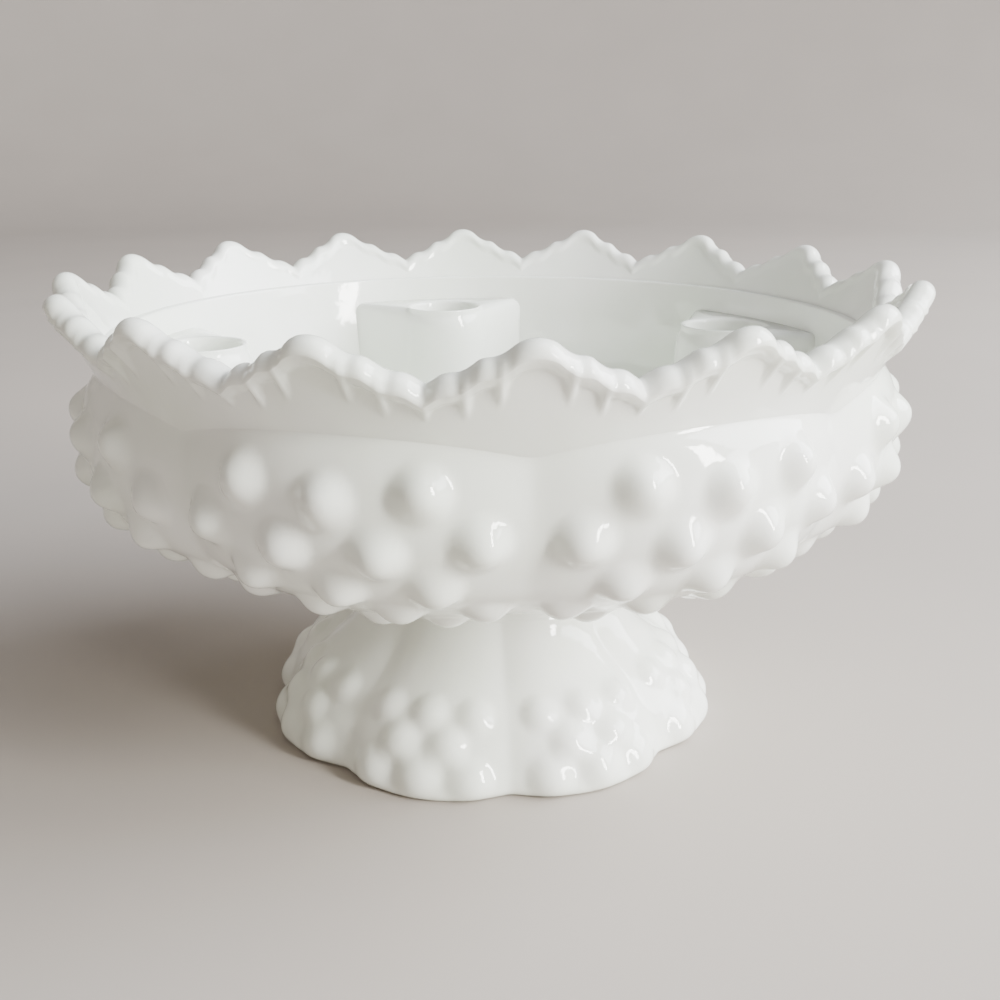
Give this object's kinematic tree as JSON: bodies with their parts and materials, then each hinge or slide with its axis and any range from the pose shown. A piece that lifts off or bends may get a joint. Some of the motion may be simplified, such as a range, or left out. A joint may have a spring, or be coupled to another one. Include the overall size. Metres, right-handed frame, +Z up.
{
  "type": "chip and dip server",
  "caption": "Footed serving bowl of white pressed glass with a hobnail basin, a scalloped flaring crown and candle cups round its inner wall, which leave the middle free for a dip bowl.",
  "frame": {"origin": "on the table, at the centre of the foot", "axes": "+Z up along the bowl's axis; a crease between two lobes faces -Y"},
  "size_m": [0.2032, 0.2032, 0.1151],
  "materials": {
    "milk_glass": "glossy opaque white pressed glass"
  },
  "bodies": {
    "root": {"basin": "milk_glass", "crown": "milk_glass", "neck": "milk_glass", "foot": "milk_glass", "candle_cup_1": "milk_glass", "candle_cup_2": "milk_glass", "candle_cup_3": "milk_glass", "candle_cup_4": "milk_glass", "candle_cup_5": "milk_glass"}
  },
  "joints": []
}
